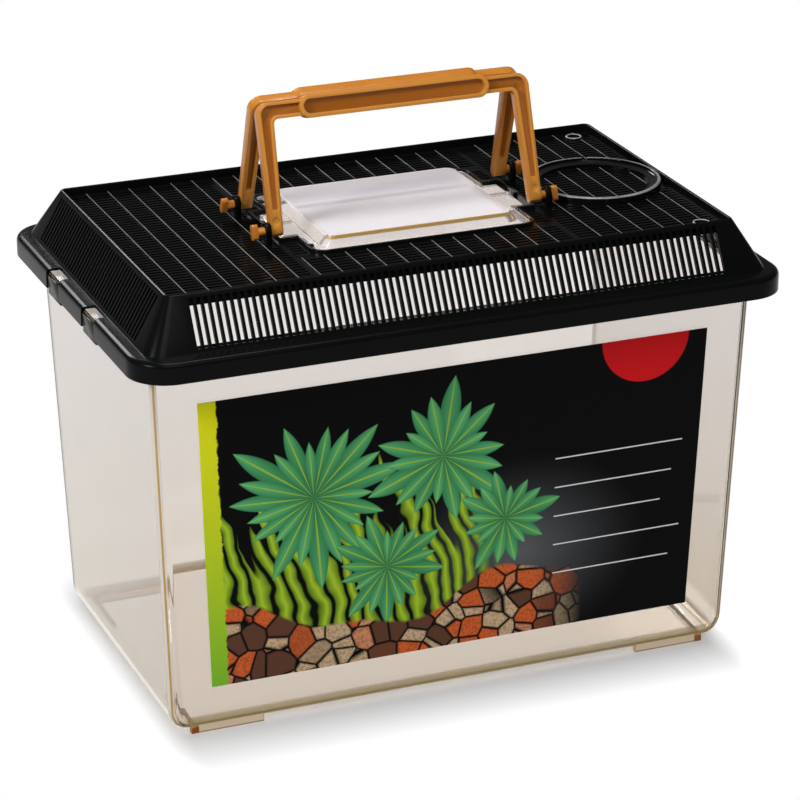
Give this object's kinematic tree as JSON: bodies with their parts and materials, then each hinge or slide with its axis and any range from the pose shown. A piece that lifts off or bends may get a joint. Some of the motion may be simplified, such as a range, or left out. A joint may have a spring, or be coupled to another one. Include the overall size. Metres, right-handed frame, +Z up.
{
  "type": "plastic pet keeper",
  "caption": "Clear tapered plastic tub with a vented clip-on lid, a see-saw feeding hatch, a round cup seat and fold-flat carrying handles.",
  "frame": {"origin": "on the table under the middle of the lid, at the underside of the feet", "axes": "+X along the long side towards the cup seat, +Y to the back, +Z up; the labelled front faces -Y"},
  "size_m": [0.3, 0.195, 0.262],
  "materials": {
    "clear_tub": "clear moulded polystyrene, faintly smoky",
    "printed_label": "glossy printed film",
    "black_plastic": "glossy moulded plastic",
    "clear_hatch": "clear moulded polystyrene with amber edges",
    "ochre_plastic": "satin moulded plastic"
  },
  "bodies": {
    "tub": {"tub": "clear_tub", "tub_feet": "clear_tub", "label": "printed_label"},
    "lid": {"lid_shell": "black_plastic", "snap_tongues": "black_plastic", "vent_front": "black_plastic", "vent_rear": "black_plastic", "vent_left": "black_plastic", "vent_right": "black_plastic", "grille_left": "black_plastic", "grille_right": "black_plastic", "grille_front": "black_plastic", "grille_rear": "black_plastic", "grille_corners": "black_plastic", "hatch_frame": "black_plastic", "cup_collar": "black_plastic", "cup_grille": "black_plastic", "corner_ports": "black_plastic", "handle_lugs": "black_plastic"},
    "hatch": {"hatch": "clear_hatch"},
    "handle_front": {"handle_front": "ochre_plastic"},
    "handle_rear": {"handle_rear": "ochre_plastic"}
  },
  "joints": [
    {"name": "lid_lift", "type": "slide", "parent": "tub", "child": "lid", "axis": [0, 0, 1], "range_m": [0, 0.06]},
    {"name": "hatch_swing", "type": "hinge", "parent": "lid", "child": "hatch", "pos_m": [0, 0.002, 0.2017], "axis": [-1, 0, 0], "range_deg": [0, 85]},
    {"name": "handle_front_fold", "type": "hinge", "parent": "lid", "child": "handle_front", "pos_m": [0, -0.02, 0.2074], "axis": [1, 0, 0], "range_deg": [0, 105]},
    {"name": "handle_rear_fold", "type": "hinge", "parent": "lid", "child": "handle_rear", "pos_m": [0, 0.02, 0.2074], "axis": [-1, 0, 0], "range_deg": [0, 105]}
  ]
}
